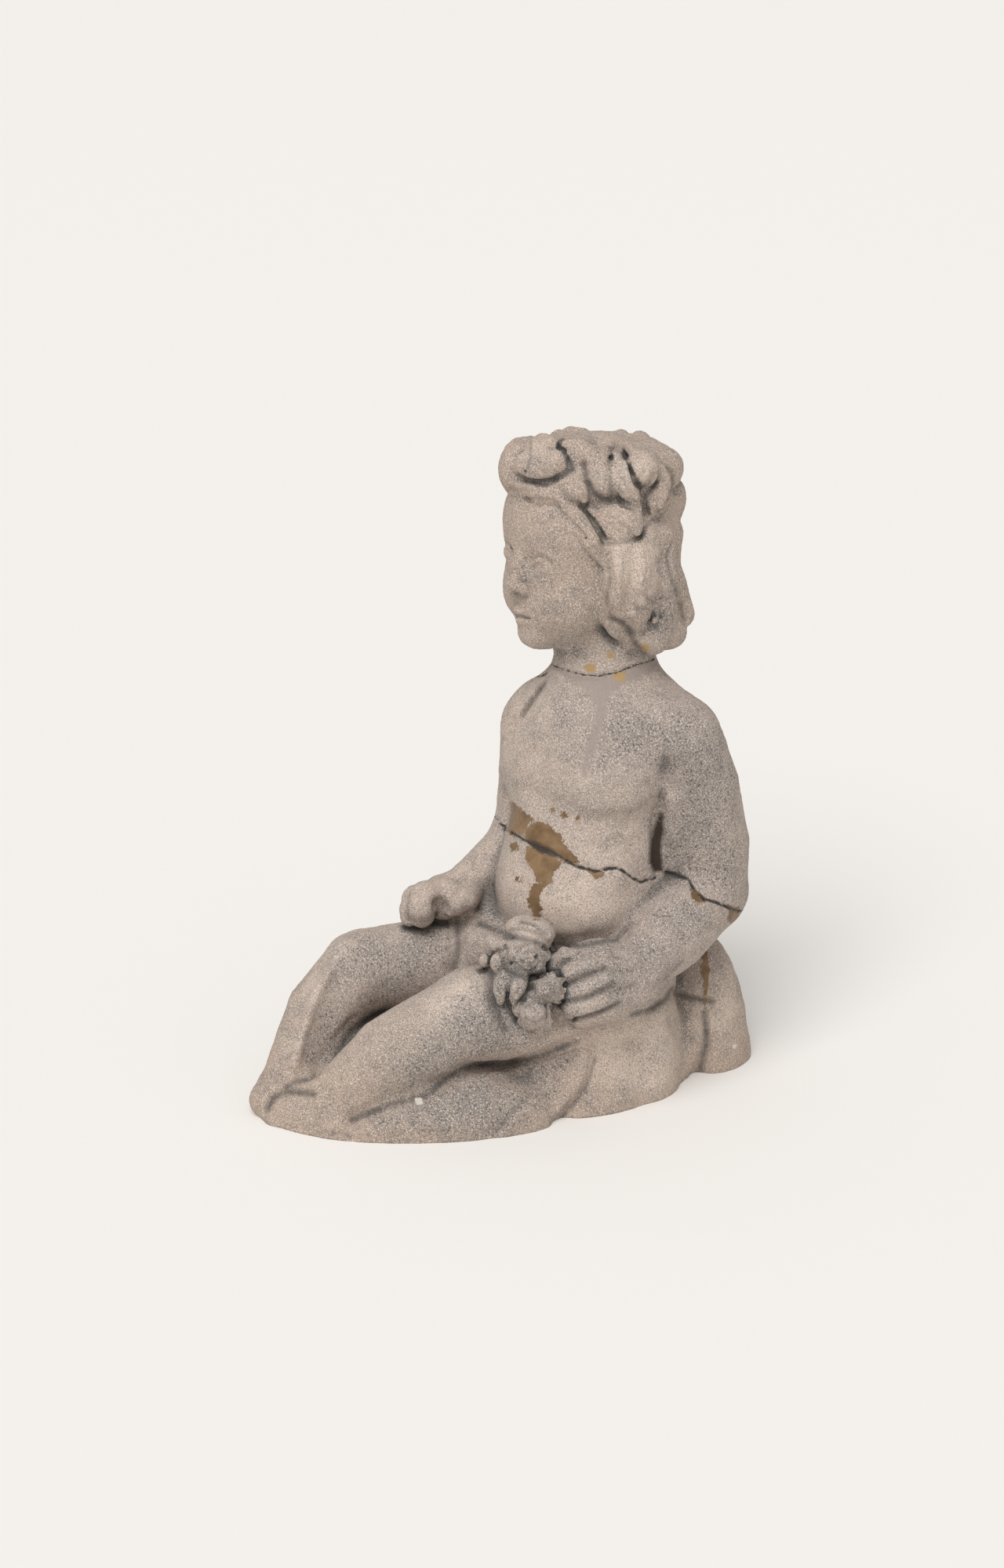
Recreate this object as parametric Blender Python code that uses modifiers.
"""A seated stone child with a wreath of flowers and a posy, cast in one with the rock it sits on."""

import math

import bmesh
import bpy
import numpy as np
from mathutils import Matrix, Vector

# ---- Sizes, in metres ----
STATUE_HEIGHT = 0.3048  # from the underside of the rock to the top of the wreath
STONE_COLOUR = (0.42, 0.36, 0.31, 1.0)
STONE_ROUGHNESS = 0.92

# The figure is laid out in parts of its own height, close to a millimetre each, with the
# origin under the middle of the rock.  +Z is up, -Y is the front and +X the figure's left.
PARTS_TO_THE_HEIGHT = 306.6
FUSE_CELL = 2.8  # cell of the first rough fusing
SKIN_CELL = 1.7  # cell of the finished skin
TRIANGLES = 9400  # the facets that the solid keeps
BODY_HEADING = 15  # how far the body turns to its own right, in degrees
HEAD_HEADING = 27  # how far the head turns the same way


# ---- Forms that melt into each other ----
def turned_axes(heading):
    """Left, forward and up of a form that faces the front, turned to its own right by heading degrees."""
    a = math.radians(heading)
    left = (math.cos(a), -math.sin(a), 0.0)
    forward = (-math.sin(a), -math.cos(a), 0.0)
    return np.array([left, forward, (0.0, 0.0, 1.0)]).T


class Place:
    """A spot on the figure with its own left, forward and up, or the ground's own x, y and z."""

    def __init__(self, origin=(0, 0, 0), heading=None):
        self.origin = np.array(origin, float)
        self.axes = np.eye(3) if heading is None else turned_axes(heading)

    def at(self, spot):
        return self.origin + self.axes @ np.array(spot, float)


GROUND = Place()


def reach(points, radii, soft):
    """The lowest and highest corners that a form can act in."""
    grown = np.asarray(radii, float).reshape(-1, 1) + soft + 6.0
    return (points - grown).min(axis=0), (points + grown).max(axis=0)


def ball(spot, radii, soft, place=GROUND, heading=None, hollow=False, axes=None):
    """An egg of three half-axes (left, forward, up) about a spot; soft is how wide it melts in."""
    centre = place.at(spot)
    if axes is None:
        axes = place.axes if heading is None else turned_axes(heading)
    low, high = reach(centre[None, :], [max(radii)], soft)
    return dict(kind="ball", centre=centre, radii=np.array(radii, float), axes=axes, soft=soft,
                hollow=hollow, low=low, high=high)


def limb(points, soft, place=GROUND):
    """A rounded rod through points of (x, y, z, radius)."""
    line = np.array([place.at(p[:3]) for p in points])
    radii = np.array([p[3] for p in points], float)
    low, high = reach(line, radii, soft)
    return dict(kind="limb", line=line, radii=radii, soft=soft, hollow=False, low=low, high=high)


def lock(points, soft, place=GROUND, steps=4):
    """A limb on a smooth curve through its points, as hair falls."""
    p = np.array(points, float)
    q = np.vstack([2 * p[0] - p[1], p, 2 * p[-1] - p[-2]])
    curve = []
    for a, b, c, d in zip(q[:-3], q[1:-2], q[2:-1], q[3:]):
        for t in np.arange(steps) / steps:
            curve.append(0.5 * (2 * b + (c - a) * t + (2 * a - 5 * b + 4 * c - d) * t**2
                                + (3 * b - a - 3 * c + d) * t**3))
    curve.append(p[-1])
    return limb([tuple(point) for point in curve], soft, place)


def flower(spot, outward, size, petals=5, place=GROUND):
    """A ring of round petals about a button, facing outward."""
    centre = place.at(spot)
    out = Vector(place.axes @ np.array(outward, float)).normalized()
    turn = np.array(out.to_track_quat("Z", "Y").to_matrix())
    forms = [ball(centre, (size * 0.8, size * 0.8, size * 0.55), 1.5, axes=turn)]
    for k in range(petals):
        a = 2.0 * math.pi * (k + 0.3) / petals
        petal = centre + turn @ np.array((0.62 * math.cos(a), 0.62 * math.sin(a), 0.22)) * size
        forms.append(ball(petal, (size * 0.46, size * 0.46, size * 0.34), 0.9, axes=turn))
    forms.append(ball(centre + turn @ np.array((0, 0, 0.42)) * size, [size * 0.3] * 3, 0.6, axes=turn))
    return forms


def leaf(points, width, place=GROUND):
    """A plump leaf through three points, stem, middle and tip."""
    radii = (0.45 * width, 0.6 * width, 0.22 * width)
    return lock([(*point, radius) for point, radius in zip(points, radii)], 1.2, place, steps=3)


def groove(points, width, depth, place=GROUND):
    """A soft line cut into the skin; a negative depth raises it."""
    line = np.array([place.at(p) for p in points])
    low, high = reach(line, [2 * width] * len(line), 0)
    return dict(kind="groove", line=line, width=width, depth=depth, low=low, high=high)


def to_line(p, line, radii=None):
    """Distance of the points p from a run of straight pieces, less the radius there."""
    nearest = np.full(len(p), 1e9)
    for i in range(len(line) - 1):
        along = line[i + 1] - line[i]
        t = np.clip((p - line[i]) @ along / max(along @ along, 1e-9), 0.0, 1.0)
        far = np.linalg.norm(p - line[i] - t[:, None] * along, axis=1)
        if radii is not None:
            far -= radii[i] + (radii[i + 1] - radii[i]) * t
        nearest = np.minimum(nearest, far)
    return nearest


def to_ball(p, form):
    q = (p - form["centre"]) @ form["axes"]
    k0 = np.linalg.norm(q / form["radii"], axis=1)
    k1 = np.linalg.norm(q / form["radii"] ** 2, axis=1) + 1e-9
    return k0 * (k0 - 1.0) / k1


def melt(a, b, soft):
    """The lesser of two distances, rounded where they meet."""
    h = np.clip(0.5 + 0.5 * (a - b) / soft, 0.0, 1.0)
    return a * (1.0 - h) + b * h - soft * h * (1.0 - h)


def height_above_skin(forms, p):
    """How far each point lies outside the melted forms (inside is negative)."""
    d = np.full(len(p), 40.0)
    for form in forms:
        near = np.nonzero(np.all((p > form["low"]) & (p < form["high"]), axis=1))[0]
        if not len(near):
            continue
        q = p[near]
        if form["kind"] == "groove":
            d[near] += form["depth"] * np.exp(-((to_line(q, form["line"]) / form["width"]) ** 2))
            continue
        e = to_ball(q, form) if form["kind"] == "ball" else to_line(q, form["line"], form["radii"])
        if form["hollow"]:
            d[near] = -melt(-d[near], e, form["soft"])
        else:
            d[near] = melt(d[near], e, form["soft"])
    return d


# ---- The figure, in parts of its height ----
def rock_forms():
    def lobe(x, y, half_width, half_depth, height, heading, soft):
        return ball((x, y, 0), (half_width, half_depth, height), soft, heading=heading)
    forms = [
        lobe(-62.2, -72.5, 24, 23, 22, -20, 6),  # under the feet
        lobe(-59.2, -27, 28, 42, 27, 8, 8),  # under the right leg
        lobe(-9.7, -58.5, 61, 21.5, 25, -33, 7),  # front edge
        lobe(-25.2, -22, 55, 48, 32, -20, 10),  # under the knees
        lobe(31.3, 12, 36, 45, 45, 37, 6),  # fold under the left hip
        lobe(61.8, 24, 13.5, 16, 42, 0, 5),  # its right corner
        lobe(54.8, 38, 16, 17, 62, 0, 4),  # block under the left elbow
        lobe(61.8, 70.5, 27, 25, 63, 0, 5),  # boulder behind the left elbow
        lobe(75.8, 71, 14, 20, 22, 0, 3),  # its ledge
        lobe(16.8, 45, 52, 47, 46, 0, 12),  # seat
        lobe(-33.2, 43, 48, 40, 32, -30, 12),  # back
    ]
    return forms


def body_forms():
    chest = Place((21, 42.5, 150.5), BODY_HEADING)
    forms = [
        ball((22.5, 38.5, 54.5), (42, 36, 30), 10, heading=BODY_HEADING),  # hips
        ball((19, 30.5, 90.5), (38.5, 36, 38), 12, heading=BODY_HEADING),  # belly
        ball((21, 37.5, 116), (37, 32, 36), 12, heading=BODY_HEADING),  # waist
        ball((0, 0, 0), (41, 32, 46), 12, place=chest),
        ball((0, -6, -48), (37, 29, 48), 12, place=chest),  # small of the back
    ]
    for side in (-1, 1):
        forms.append(ball((side * 19, 11, -6), (21, 19, 22), 9, place=chest))
    forms += [
        limb([(25.5, 52, 174.5, 22), (21, 54, 192, 23.5), (17, 58.5, 213, 23)], 9),  # neck
        limb([(30.5, 50, 179.5, 18), (53.5, 47, 168.5, 17)], 10),  # slope to the left shoulder
        limb([(22.5, 50, 180, 17), (-6.5, 52, 167, 16)], 10),  # slope to the right shoulder
        limb([(36, 58, 186.5, 10), (55, 59.5, 175, 10)], 6),  # the muscle from neck to left shoulder
    ]
    return forms


def arm_forms():
    left_upper = [(63.5, 48.5, 167, 18.5), (69.5, 56.5, 142.5, 17.8),
                  (71, 62, 112, 19.8), (70.5, 63, 90, 19.2)]
    left_lower = [(70.5, 61.5, 87.5, 18.8), (69.5, 31, 79, 18.3), (62, 4, 67.5, 14.5)]
    left_armpit = [(55.5, 46, 164.5, 14), (56.5, 49, 135, 14)]
    right_upper = [(-11.5, 50, 159, 18), (-18.5, 56.5, 126, 16.5), (-19, 51.5, 103, 15.5)]
    right_lower = [(-18, 50, 101.5, 15.2), (-24, 32.5, 93.5, 13), (-30.5, 15, 85.5, 11)]
    return [limb(left_upper, 6), limb(left_lower, 6), limb(left_armpit, 9),
            limb(right_upper, 7), limb(right_lower, 6)]


def leg_forms():
    right_thigh = [(-0.5, 41.5, 43.5, 24), (-33.5, 8.5, 50, 22.5), (-64, -20.5, 49, 19.5)]
    right_shin = [(-67, -24.5, 49, 18), (-74, -45, 35, 16.5),
                  (-73.5, -63, 20.5, 14.5), (-73.5, -77, 11, 12)]
    right_foot = [(-72.5, -78.5, 11, 11), (-77.5, -86, 6.5, 8.5)]
    left_thigh = [(46.5, 24.5, 41.5, 24), (26.5, -7.5, 43.5, 23), (4, -32, 47, 21.5)]
    left_shin = [(2, -35.5, 47.5, 21), (-12.5, -51, 38.5, 20),
                 (-24.5, -62.5, 30.5, 19.4), (-44, -78.5, 13.5, 13.5)]
    left_foot = [(-45, -79, 9, 12.5), (-56.5, -85.5, 5, 9.5), (-68.5, -90, 2, 7)]
    forms = [limb(right_thigh, 7), limb(right_shin, 5), limb(right_foot, 4)]
    forms.append(ball((-14.5, 10, 62), (18, 16, 16), 8, heading=BODY_HEADING))  # the fold of the lap
    forms.append(limb([(-18.5, 31, 83.5, 10), (-23, 19, 74, 13)], 6))  # the hip under the right wrist
    forms += right_hand_forms()
    forms += [limb(left_thigh, 4), limb(left_shin, 4), limb(left_foot, 4)]
    forms += [
        # the left leg lies on the rock
        groove([(49, -22.5, 39.5), (39, -37, 36), (27, -51.5, 35), (13, -64, 35),
                (1, -73, 22.5), (-13, -81, 18), (-29, -88, 9.5)], 3.2, 4),
        # the crease of the right groin
        groove([(-20.5, -11.5, 84.5), (-19, -13, 71), (-19, -15.5, 57.5)], 1.6, 1.8),
        # the valley between the legs
        groove([(-26, -40, 51), (-39, -55, 42), (-50, -68, 31), (-56.5, -76, 16.5)], 4.5, 2.8),
        # the shin bone of the right leg
        groove([(-65, -37, 68.5), (-69, -56, 49.5), (-67.5, -71, 35.5), (-67.5, -85, 17.5)], 3, -2),
    ]
    return forms


def right_hand_forms():
    """A loose fist that rests on the right thigh."""
    return [
        ball((-37, 6.5, 82.5), (15, 12, 10), 4, heading=60),
        limb([(-35, -1.5, 87.5, 7), (-38, -10, 87.5, 8), (-39, -13, 83.5, 7.3),
              (-39, -12, 79.5, 6)], 1.5),
        limb([(-41, 4.5, 84.5, 6.5), (-47, -3.5, 82.5, 7.2), (-47.5, -7.5, 79, 5.6),
              (-47, -8.5, 76, 5)], 1.2),
        ball((-30, -1, 87.5), (8, 7, 7.2), 2.5),  # the knuckles bridge over to the thumb
        limb([(-26, 8.5, 86, 7.2), (-24, 0, 85.5, 7), (-24.5, -3.5, 82.5, 6)], 1.5),
        ball((-29, -11, 85), (4, 4, 4.5), 2, hollow=True),
    ]


def left_hand_forms():
    """The palm, four fingers side by side and the thumb, round the stems of the posy."""
    fingers = [
        [(66, -1, 74, 8), (59, -16.5, 78, 6.6), (46.5, -23.5, 73.5, 5)],
        [(67, -3, 67.5, 8), (60, -19, 71, 6.8), (48.5, -24, 64.5, 5.2)],
        [(67, -2.5, 60.5, 8), (60, -18.5, 63, 6.6), (47.5, -24.5, 57, 5.2)],
        [(66.5, -0.5, 54, 7.5), (60.5, -14.5, 55, 6), (49.5, -19.5, 50.5, 5)],
        [(61, 3, 76, 8.5), (51, -9.5, 79, 6.5), (40.5, -18, 78.5, 4.8)],
    ]
    palm = ball((63, 2, 64.5), (14, 13, 15), 6)
    return [palm] + [limb(finger, 1.8) for finger in fingers]


def body_creases():
    return [
        # between the left arm and the body
        groove([(64, 35, 165.5), (64.5, 30.5, 150), (64, 30.5, 133)], 4, 1.6),
        groove([(64, 30, 133), (64, 28, 109.5), (60, 14, 97.5), (56, 2.5, 83)], 3, 4.5),
        # in front of the right shoulder
        groove([(0.5, 30.5, 185), (-8.5, 30, 171.5), (-17, 27.5, 157.5)], 3, 2.5),
        # under the breasts
        groove([(18, -1, 142.5), (35.5, 4.5, 135.5), (53, 17, 132.5), (60.5, 30.5, 134)], 6, 1.5),
        # under the belly
        groove([(-7, -13, 82.5), (12, -11.5, 78), (32.5, -4, 75.5), (55, 6.5, 81)], 4, 3),
    ]


def head_forms(head):
    """A plain child's head on the usual proportions: the eyes at half its height, full cheeks."""
    forms = [
        ball((0, -3, 6), (36, 39, 39), 6, place=head),
        ball((0, 13, -12), (29.5, 25, 33), 7, place=head),
        ball((0, 19, 14), (29, 19, 24), 7, place=head),  # forehead
        ball((0, 25, -27), (12, 12, 10), 6, place=head),  # mouth
        ball((0, 27, -38), (9, 9, 7), 6, place=head),  # chin
    ]
    for side in (-1, 1):
        forms.append(ball((side * 14, 21, -21), (14, 13, 14), 6, place=head))  # cheek
    forms.append(limb([(0, 36.5, 0, 3), (0, 40.5, -12, 4)], 3, place=head))  # nose
    for side in (-1, 1):
        forms.append(ball((side * 4, 38, -14), (3, 3.4, 2.8), 1.5, place=head))  # nostril
        forms.append(ball((side * 13, 41, -1), (8, 7, 5), 4, place=head, hollow=True))  # eye socket
        forms.append(ball((side * 12.5, 31, -2), (6.5, 5.6, 4.6), 1, place=head))  # eye
    forms += [
        limb([(-8, 34, -25.5, 1.2), (0, 37.8, -25, 2.4), (8, 34, -25.5, 1.2)], 1.5, place=head),
        limb([(-6, 34, -29.5, 1.2), (0, 36.6, -30, 2.4), (6, 34, -29.5, 1.2)], 1.5, place=head),
        groove([(-9, 34, -27.3), (0, 39, -27.6), (9, 34, -27.3)], 1.0, 1.6, place=head),
    ]
    return forms


def hair_forms(head):
    """A cap of hair that falls to the neck and rolls into curls, with wavy locks over it."""
    forms = [
        ball((0, -6, 11), (37, 35.5, 40), 3, place=head),
        ball((3, -17, -6), (31, 19, 33), 6, place=head),
        ball((14, -31, -32), (14, 13.5, 13.5), 4, place=head),
        ball((-8, -28, -32), (13, 11, 13), 4, place=head),
    ]
    for side in (-1, 1):
        forms.append(ball((side * 29.5, -4, -12), (9.5, 19, 28), 4, place=head))
        forms.append(ball((side * 26, -15, -33), (12, 15, 15), 4, place=head))
    # the near side's waves, from the wreath down
    forms += [
        lock([(15.5, 21, 280.5, 4.2), (24.5, 20.5, 270.5, 4.4), (31, 21.5, 261, 4.2),
              (35, 25, 253.5, 3.4)], 1.5),
        lock([(40, 31.5, 261, 6.5), (41, 29.5, 251.5, 7.5), (41, 28.5, 240, 7.5),
              (41.5, 30, 230.5, 6.5)], 2.5),
        lock([(45.5, 40.5, 259.5, 8), (46, 38, 248, 8.5), (46, 37, 237.5, 8.5), (45, 38, 227.5, 8)], 4),
        lock([(48.5, 51.5, 257.5, 7.5), (49, 50.5, 245.5, 8.5), (50, 51, 234, 9),
              (49, 51.5, 223.5, 9)], 4),
        lock([(46.5, 68.5, 256, 5), (46, 66, 243.5, 5.5), (48.5, 67.5, 230.5, 6.5),
              (50, 70.5, 217.5, 7)], 3),
        ball((47.5, 48.5, 211.5), (8, 8, 7.5), 3),
        ball((43, 38, 222), (6, 6, 5), 3),
        ball((50, 61.5, 211.5), (8, 8, 8), 3),
    ]
    # the far side's locks
    for k, (top, middle, end) in enumerate(((22, 13, 8), (12, 4, -4), (0, -8, -14), (-12, -20, -22))):
        forms.append(lock([
            (-27 - k * 1.2, top - 3, 24, 3),
            (-33 + k * 0.2, middle, 8, 4.2),
            (-34.5 + k * 0.8, middle + 2, -8, 4),
            (-35 + k * 1.8, end, -24, 4.5),
            (-30 + k * 1.6, end - 3, -40, 3.5),
        ], 1.8, place=head))
    for k in range(-2, 3):
        back = abs(k)
        forms.append(lock([
            (k * 8.5 + 3, -33 + back * 1.5, 18, 3),
            (k * 9 + 3, -34 + back * 2, -8, 3.5),
            (k * 9 + 3, -36 + back * 2, -24, 4),
            (k * 8 + 3, -34 + back * 2, -40, 3.5),
        ], 1.8, place=head))
    return forms


def wreath_forms(head):
    """Flowers and leaves above the brow, and a plainer run of them round the far side and the back."""
    band = []
    for turn in range(-180, 181, 20):
        a = math.radians(turn)
        band.append((28 * math.sin(a), 29 * math.cos(a) - 3, 37, 8.5))
    forms = [
        limb(band, 5, place=head),
        ball((-10.5, 29, 287.5), (9.5, 10, 12.5), 5),  # the thick start over the brow
        ball((13.5, 38, 298.5), (10, 8, 6), 3),
        ball((35, 50.5, 295), (8, 7, 6), 3),
    ]
    forms += flower((2, 28, 294), (-0.1, -0.98, 0.1), 11.5)
    forms += [
        limb([(-5, 20.5, 290.5, 4), (6, 20, 290, 4.8), (14.5, 23.5, 292, 4)], 1.5),  # its hanging lip
        limb([(-4.5, 23, 281.5, 4.5), (6, 20, 281, 5), (13.5, 19.5, 280.5, 4)], 1.5),
        limb([(18, 21, 287, 4), (22.5, 21.5, 283.5, 5), (21.5, 22, 278, 4)], 1.5),
        ball((17.5, 31, 295.5), (9, 8, 9), 1.5),
        ball((26, 32.5, 289), (9, 8, 13), 1.5),  # broad petal
        leaf([(33, 38, 294.5), (40.5, 34, 285.5), (46, 36, 276)], 9),
        ball((44.5, 42, 291.5), (7.5, 7.5, 8.5), 1.2),  # bud
        leaf([(47, 55, 287), (48.5, 49, 277.5), (48.5, 44.5, 269.5)], 10),
        ball((43.5, 67, 286), (8, 9, 9.5), 2),
        ball((44.5, 74.5, 270.5), (5, 6, 9), 3),
        # the broad leaf that hangs over the hair
        ball((37, 33, 269), (13, 8, 9.5), 2),
    ]
    for k, turn in enumerate(range(-28, -190, -26)):
        a = math.radians(turn)
        spot = (32 * math.sin(a), 32 * math.cos(a) - 2, 34 + 3 * math.cos(a))
        outward = (math.sin(a), math.cos(a), 0.15)
        if k % 2 == 0:
            forms += flower(spot, outward, 9, place=head)
            continue
        for lean in (-1, 1):
            near, far = math.radians(turn - 10 * lean), math.radians(turn + 10 * lean)
            forms.append(leaf([
                (33 * math.sin(near), 33 * math.cos(near) - 2, 42),
                (38 * math.sin(a), 37 * math.cos(a) - 2, 36 + 3 * lean),
                (36 * math.sin(far), 35 * math.cos(far) - 2, 27 + 4 * lean),
            ], 9, place=head))
    return forms


def posy_forms():
    """A bunch of roses and small leaves in the left hand."""
    towards_the_front = (0.35, -0.9, 0.25)
    forms = [ball((20.5, -20.5, 66), (17, 16, 24), 4)]  # the mass of the bunch
    forms += [
        ball((24, -22.5, 86.5), (13, 11, 9), 1.5),  # top flower, seen from its side
        ball((26.5, -31, 86), (9, 6, 4.5), 1),
    ]
    forms += flower((30.5, -33, 81), towards_the_front, 10)
    forms += flower((40.5, -33, 67.5), (0.5, -0.85, 0.2), 9)
    forms += flower((36, -38, 58), (0.4, -0.88, 0.0), 10.5)
    forms += [
        ball((36.5, -22.5, 75), (6, 5, 6), 1),
        ball((15, -32.5, 74.5), (4.5, 4.5, 5.5), 1),
        ball((12.5, -29.5, 83.5), (6.5, 5, 4.5), 1),
        ball((7, -32.5, 74), (3, 3, 3.5), 1),
        leaf([(23.5, -38, 74.5), (22.5, -43.5, 70), (22, -44.5, 62)], 7),
        leaf([(29.5, -37, 73), (29, -42, 69), (28.5, -43.5, 63)], 7),
    ]
    return forms


def figure_forms():
    head = Place((12, 53, 249.5), HEAD_HEADING)
    forms = rock_forms() + body_forms() + arm_forms() + leg_forms() + left_hand_forms() + body_creases()
    forms += head_forms(head) + hair_forms(head) + wreath_forms(head) + posy_forms()
    return forms


# ---- From forms to one closed solid ----
def add_primitive(whole, make, **settings):
    """One primitive, made on its own and added to the whole."""
    piece = bmesh.new()
    make(piece, **settings)
    mesh = bpy.data.meshes.new("piece")
    piece.to_mesh(mesh)
    piece.free()
    whole.from_mesh(mesh)
    bpy.data.meshes.remove(mesh)


def rough_mesh(forms):
    """Every raised form as primitives in one mesh, still overlapping."""
    bm = bmesh.new()
    sphere, cone = bmesh.ops.create_icosphere, bmesh.ops.create_cone
    for form in forms:
        if form["kind"] == "groove" or form["hollow"]:
            continue
        if form["kind"] == "ball":
            turn = Matrix((form["axes"] * form["radii"]).tolist()).to_4x4()
            turn.translation = Vector(form["centre"])
            if turn.determinant() < 0:
                turn = turn @ Matrix.Scale(-1, 4, (1, 0, 0))
            add_primitive(bm, sphere, subdivisions=3, radius=1.0, matrix=turn)
            continue
        for point, radius in zip(form["line"], form["radii"]):
            add_primitive(bm, sphere, subdivisions=2, radius=radius, matrix=Matrix.Translation(point))
        for i in range(len(form["line"]) - 1):
            start, end = Vector(form["line"][i]), Vector(form["line"][i + 1])
            along = (end - start).to_track_quat("Z", "Y").to_matrix().to_4x4()
            add_primitive(bm, cone, cap_ends=True, segments=12, radius1=form["radii"][i],
                          radius2=form["radii"][i + 1], depth=(end - start).length,
                          matrix=Matrix.Translation((start + end) / 2) @ along)
    mesh = bpy.data.meshes.new("rough")
    bm.to_mesh(mesh)
    bm.free()
    return mesh


def take_modified_mesh(ob):
    """Make the object's modifiers real."""
    depsgraph = bpy.context.evaluated_depsgraph_get()
    made = bpy.data.meshes.new_from_object(ob.evaluated_get(depsgraph))
    old = ob.data
    ob.modifiers.clear()
    ob.data = made
    bpy.data.meshes.remove(old)


def fuse(ob, cell):
    """One closed skin of even cells over everything in the mesh."""
    remesh = ob.modifiers.new("Fuse", "REMESH")
    remesh.mode = "VOXEL"
    remesh.voxel_size = cell
    take_modified_mesh(ob)


def settle(ob, forms, rounds, longest_step=3.0):
    """Move each vertex along its normal until it lies on the melted forms."""
    mesh = ob.data
    count = len(mesh.vertices)
    moving = np.arange(count)
    for _ in range(rounds):
        co = np.empty(count * 3)
        normals = np.empty(count * 3)
        mesh.vertices.foreach_get("co", co)
        mesh.vertex_normals.foreach_get("vector", normals)
        co, normals = co.reshape(-1, 3), normals.reshape(-1, 3)
        step = np.clip(height_above_skin(forms, co[moving]), -longest_step, longest_step)
        co[moving] -= normals[moving] * step[:, None]
        mesh.vertices.foreach_set("co", co.ravel())
        mesh.update()
        moving = moving[np.abs(step) > 0.02]


def cut_flat(mesh, height):
    """Saw the underside off level, so that the rock stands flat."""
    bm = bmesh.new()
    bm.from_mesh(mesh)
    everything = bm.verts[:] + bm.edges[:] + bm.faces[:]
    bmesh.ops.bisect_plane(bm, geom=everything, plane_co=(0, 0, height), plane_no=(0, 0, 1), clear_inner=True)
    rim = [edge for edge in bm.edges if edge.is_boundary]
    bmesh.ops.holes_fill(bm, edges=rim, sides=0)
    bm.to_mesh(mesh)
    bm.free()


def carve(name, forms):
    ob = bpy.data.objects.new(name, rough_mesh(forms))
    bpy.context.scene.collection.objects.link(ob)
    fuse(ob, FUSE_CELL)
    cut_flat(ob.data, -6.0)
    settle(ob, forms, 3)
    fuse(ob, SKIN_CELL)
    settle(ob, forms, 4)
    return ob


def thin_out(ob, triangles):
    """Keep only as many facets as the solid needs."""
    count = sum(len(polygon.vertices) - 2 for polygon in ob.data.polygons)
    decimate = ob.modifiers.new("Thin out", "DECIMATE")
    decimate.ratio = triangles / count
    take_modified_mesh(ob)


def stone_material(name):
    material = bpy.data.materials.new(name)
    material.use_nodes = True
    shader = material.node_tree.nodes["Principled BSDF"]
    shader.inputs["Base Color"].default_value = STONE_COLOUR
    shader.inputs["Roughness"].default_value = STONE_ROUGHNESS
    shader.inputs["Metallic"].default_value = 0.0
    return material


def build():
    for ob in list(bpy.data.objects):
        bpy.data.objects.remove(ob)
    statue = carve("statue", figure_forms())
    thin_out(statue, TRIANGLES)
    cut_flat(statue.data, 0.0)
    size = STATUE_HEIGHT / PARTS_TO_THE_HEIGHT
    statue.data.transform(Matrix.Scale(size, 4))
    bm = bmesh.new()
    bm.from_mesh(statue.data)
    bmesh.ops.triangulate(bm, faces=bm.faces[:])
    bm.to_mesh(statue.data)
    bm.free()
    statue.data.shade_smooth()
    statue.data.set_sharp_from_angle(angle=math.radians(40))
    statue.data.materials.clear()
    statue.data.materials.append(stone_material("stone"))
    collection = bpy.data.collections.new("seated child statue")
    bpy.context.scene.collection.children.link(collection)
    bpy.context.scene.collection.objects.unlink(statue)
    collection.objects.link(statue)


build()
